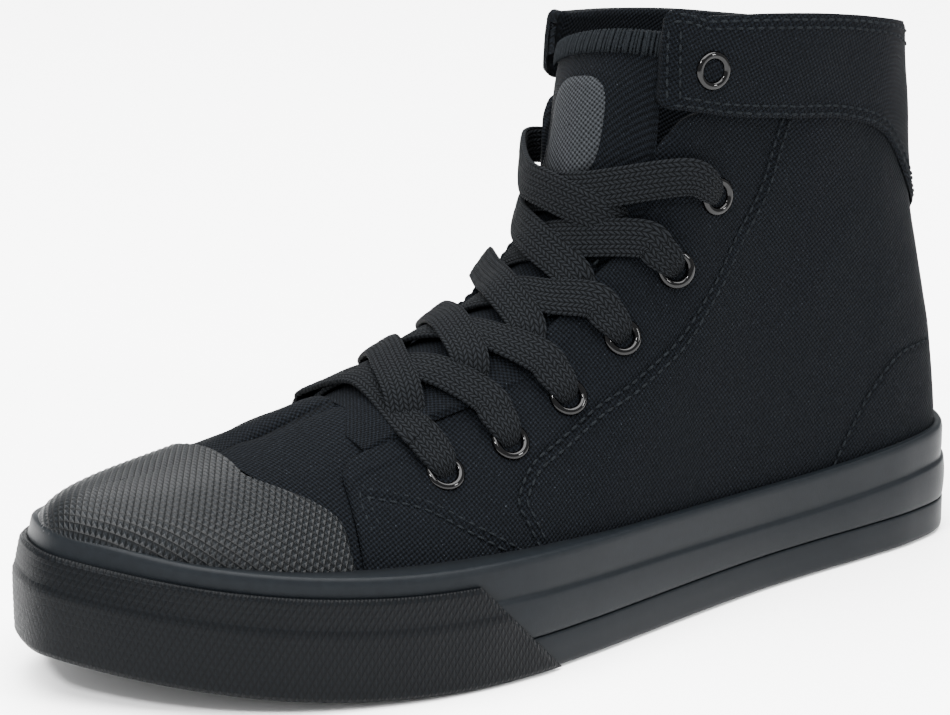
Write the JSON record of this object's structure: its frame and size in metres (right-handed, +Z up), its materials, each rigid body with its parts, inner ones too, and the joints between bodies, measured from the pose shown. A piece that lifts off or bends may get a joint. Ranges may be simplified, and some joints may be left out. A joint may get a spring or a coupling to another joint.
{
  "type": "high top sneaker",
  "caption": "High top canvas sneaker with a cupped rubber sole, knurled toe cap and bumper, folded ankle cuff, padded tongue and flat crossed laces in enamelled eyelets.",
  "frame": {"origin": "on the floor under the middle of the shoe's box, at the plane of the heel's and forefoot's treads", "axes": "+Z up, -Y towards the toe, +Y towards the heel, +X towards the outer (lateral) side of this left shoe"},
  "size_m": [0.1132, 0.2978, 0.1666],
  "materials": {
    "sole_rubber": "satin black moulded rubber",
    "cap_rubber": "dark grey rubber with a fine knurl",
    "canvas": "matt black cotton canvas",
    "tongue_canvas": "matt black cotton canvas, padded",
    "webbing": "black woven tape",
    "lining": "black cotton drill",
    "lace_cord": "black flat braid",
    "eyelet_enamel": "gloss black enamel"
  },
  "bodies": {
    "root": {"outsole": "sole_rubber", "foxing": "sole_rubber", "toe_bumper": "cap_rubber", "insole": "lining", "upper": "canvas", "toe_cap": "cap_rubber", "collar_band": "canvas", "heel_strip": "webbing", "tongue": "tongue_canvas", "laces": "lace_cord", "eyelet_lateral_1": "eyelet_enamel", "eyelet_lateral_2": "eyelet_enamel", "eyelet_lateral_3": "eyelet_enamel", "eyelet_lateral_4": "eyelet_enamel", "eyelet_lateral_5": "eyelet_enamel", "eyelet_lateral_6": "eyelet_enamel", "eyelet_lateral_7": "eyelet_enamel", "eyelet_medial_1": "eyelet_enamel", "eyelet_medial_2": "eyelet_enamel", "eyelet_medial_3": "eyelet_enamel", "eyelet_medial_4": "eyelet_enamel", "eyelet_medial_5": "eyelet_enamel", "eyelet_medial_6": "eyelet_enamel", "eyelet_medial_7": "eyelet_enamel"}
  },
  "joints": []
}
